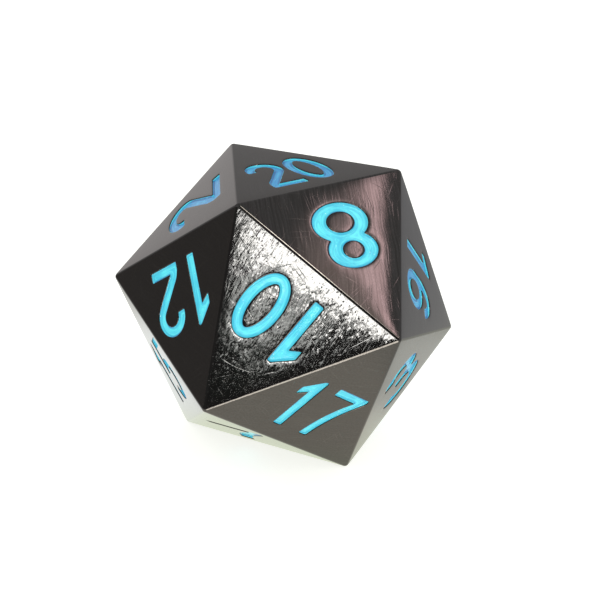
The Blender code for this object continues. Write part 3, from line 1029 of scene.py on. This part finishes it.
def floor_material():
    """A pale floor, lit and glowing evenly. Reflections see it in a painted colour, with painted shade close
    round the die and to its right; they show only the part near the die, and nothing shows from below.
    """
    material, graph = material_graph("pale_floor")
    path = graph.node("ShaderNodeLightPath")
    geometry = graph.node("ShaderNodeNewGeometry")
    flat = graph.vector("MULTIPLY", geometry.outputs["Position"], (1, 1, 0))
    distance = graph.node("ShaderNodeVectorMath", {0: flat}, operation="LENGTH").outputs["Value"]
    # Colour that only reflections see, a painted reflection: warmer in front of the die and paler behind it
    reflected_back_share = graph.ramp(graph.part(flat, 1), -0.004, 0.004)
    tint = graph.mix(reflected_back_share, colour(0.84, 0.80, 0.68), colour(0.90, 0.93, 0.90))
    # painted darker reflection to the right of the die
    right = graph.ramp(graph.vector("DOT_PRODUCT", flat, direction(-24, 0)), 0.006, 0.012)
    tint = graph.mix(right, tint, colour(0.45, 0.45, 0.39))
    # painted yellow-green shade in reflections close round the die
    tint = graph.mix(graph.ramp(distance, 0.010, 0.006), tint, colour(0.82, 0.88, 0.69))
    # the camera and diffuse light see an even glow; reflections see the painted colour
    glow_and_painted_reflection_colour = graph.mix(path.outputs["Is Glossy Ray"], colour(0.81, 0.82, 0.77), tint)
    diffuse = graph.node("ShaderNodeBsdfDiffuse", {"Color": colour(0.40, 0.40, 0.40)})
    glow = graph.node("ShaderNodeEmission", {"Color": glow_and_painted_reflection_colour})
    lit = graph.node("ShaderNodeAddShader", {0: diffuse.outputs[0], 1: glow.outputs[0]})
    away = graph.times(path.outputs["Is Glossy Ray"], graph.ramp(distance, *LIT_FLOOR))
    unseen = graph.math("MAXIMUM", away, geometry.outputs["Backfacing"])
    clear = graph.node("ShaderNodeBsdfTransparent")
    mixed = graph.node("ShaderNodeMixShader", {0: unseen, 1: lit.outputs[0], 2: clear.outputs[0]})
    graph.node("ShaderNodeOutputMaterial", {0: mixed.outputs[0]})
    return material


# --- studio


def direction(azimuth, elevation):
    """A direction by its azimuth from +X towards +Y and its elevation, in degrees."""
    a, e = math.radians(azimuth), math.radians(elevation)
    return Vector((math.cos(a) * math.cos(e), math.sin(a) * math.cos(e), math.sin(e)))


def cap(graph, look, azimuth, elevation, inner, outer):
    """1 within inner degrees of a direction, falling to 0 at outer degrees."""
    towards = graph.vector("DOT_PRODUCT", look, direction(azimuth, elevation))
    return graph.ramp(towards, math.cos(math.radians(outer)), math.cos(math.radians(inner)))


def beyond(graph, look, edge, start, end):
    """Rises from 0 to 1 between start and end degrees beyond an edge through two directions."""
    normal = direction(*edge[0]).cross(direction(*edge[1])).normalized()
    height = graph.vector("DOT_PRODUCT", look, normal)
    return graph.ramp(height, math.sin(math.radians(start)), math.sin(math.radians(end)))


def studio_world():
    """Soft studio light, by direction: plain surroundings, flags, a side box and a narrow front box."""
    world = bpy.data.worlds.new("soft_studio")
    world.use_nodes = True
    graph = Graph(world.node_tree)
    look = graph.node("ShaderNodeTexCoord").outputs["Generated"]
    below = graph.ramp(graph.part(look, 2), -0.16, -0.60)
    radiance = graph.mix(below, colour(0.42, 0.42, 0.43), colour(0.9, 0.9, 0.85))

    for azimuth, elevation, inner, outer, level in FLAGS:
        radiance = graph.mix(cap(graph, look, azimuth, elevation, inner, outer), radiance, colour(*level))

    within = graph.times(
        beyond(graph, look, SIDE_BOX_EDGE, 2.0, -2.0),
        beyond(graph, look, STRIP_EDGE, -0.3, 0.3),
    )
    depth = beyond(graph, look, SIDE_BOX_EDGE, -0.5, -4.0)
    bright = graph.mix(depth, colour(1.6, 1.3, 1.3), colour(4.1, 3.0, 3.1))
    bright = graph.mix(beyond(graph, look, SIDE_BOX_END, 2.4, 0.2), bright, colour(1.5, 1.25, 1.2))
    bright = graph.mix(beyond(graph, look, STRIP_EDGE, 2.4, 0.8), bright, colour(5.0, 3.6, 3.75))
    radiance = graph.mix(graph.times(within, cap(graph, look, -27, 49, 20, 30)), radiance, bright)

    radiance = graph.mix(cap(graph, look, -131.7, 12.9, 1, 3.9), radiance, colour(4.0, 4.3, 4.3))
    strip = graph.times(
        beyond(graph, look, FRONT_BOX_EDGE, -0.7, 0.6),
        beyond(graph, look, FRONT_BOX_END, 1.5, -1.5),
    )
    strip = graph.times(strip, cap(graph, look, -127.5, 14.2, 4.5, 8.5))
    radiance = graph.mix(strip, radiance, colour(14.6, 15.0, 15.0))

    path = graph.node("ShaderNodeLightPath")
    plain = graph.mix(path.outputs["Is Camera Ray"], colour(1.12, 1.12, 1.11), colour(1.0, 1.0, 1.0))
    shown = graph.mix(path.outputs["Is Glossy Ray"], plain, radiance)
    background = graph.node("ShaderNodeBackground", {"Color": shown})
    graph.node("ShaderNodeOutputWorld", {0: background.outputs[0]})
    bpy.context.scene.world = world


def add_floor():
    mesh = bpy.data.meshes.new("floor")
    corners = [(x * FLOOR_SIZE / 2, y * FLOOR_SIZE / 2, 0) for x, y in ((-1, -1), (1, -1), (1, 1), (-1, 1))]
    mesh.from_pydata(corners, [], [range(4)])
    floor = bpy.data.objects.new("floor", mesh)
    floor.data.materials.append(floor_material())
    bpy.context.scene.collection.objects.link(floor)


def add_camera(face_to_face):
    centre = Vector((0, 0, face_to_face / 2))
    a, e = math.radians(CAMERA_AZIMUTH), math.radians(CAMERA_ELEVATION)
    back = Vector((math.sin(a) * math.cos(e), -math.cos(a) * math.cos(e), math.sin(e)))
    data = bpy.data.cameras.new("camera")
    data.lens = CAMERA_LENS
    data.sensor_width = CAMERA_SENSOR
    data.clip_start = 0.001
    data.clip_end = 10.0
    camera = bpy.data.objects.new("camera", data)
    bpy.context.scene.collection.objects.link(camera)
    camera.location = (centre + back * CAMERA_DISTANCE * face_to_face) * MM
    aim = (centre + CAMERA_AIM) * MM
    level = (aim - camera.location).to_track_quat("-Z", "Y").to_matrix()
    camera.rotation_euler = (level @ Matrix.Rotation(math.radians(CAMERA_ROLL), 3, "Z")).to_euler()
    bpy.context.scene.camera = camera


# --- main


def attach(piece, node, material):
    piece.data.materials.append(material)
    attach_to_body(piece, "root")
    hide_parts(node)


def main():
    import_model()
    cad_bounds = [list(point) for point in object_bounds()]
    face_to_face = (cad_bounds[1][2] - cad_bounds[0][2]) / MM
    die = Die(face_to_face)
    marks = {numeral: marks_of(numeral) for numeral in die.faces}
    attach(build_casting(die, marks), "die_body", metal_material())
    enamel = enamel_material()
    for numeral, of_face in marks.items():
        for name, loops in of_face.items():
            attach(build_enamel(die, numeral, name, loops), f"enamel_{name}", enamel)
    studio_world()
    add_floor()
    add_camera(face_to_face)
    bpy.context.scene.view_settings.view_transform = "Standard"


main()
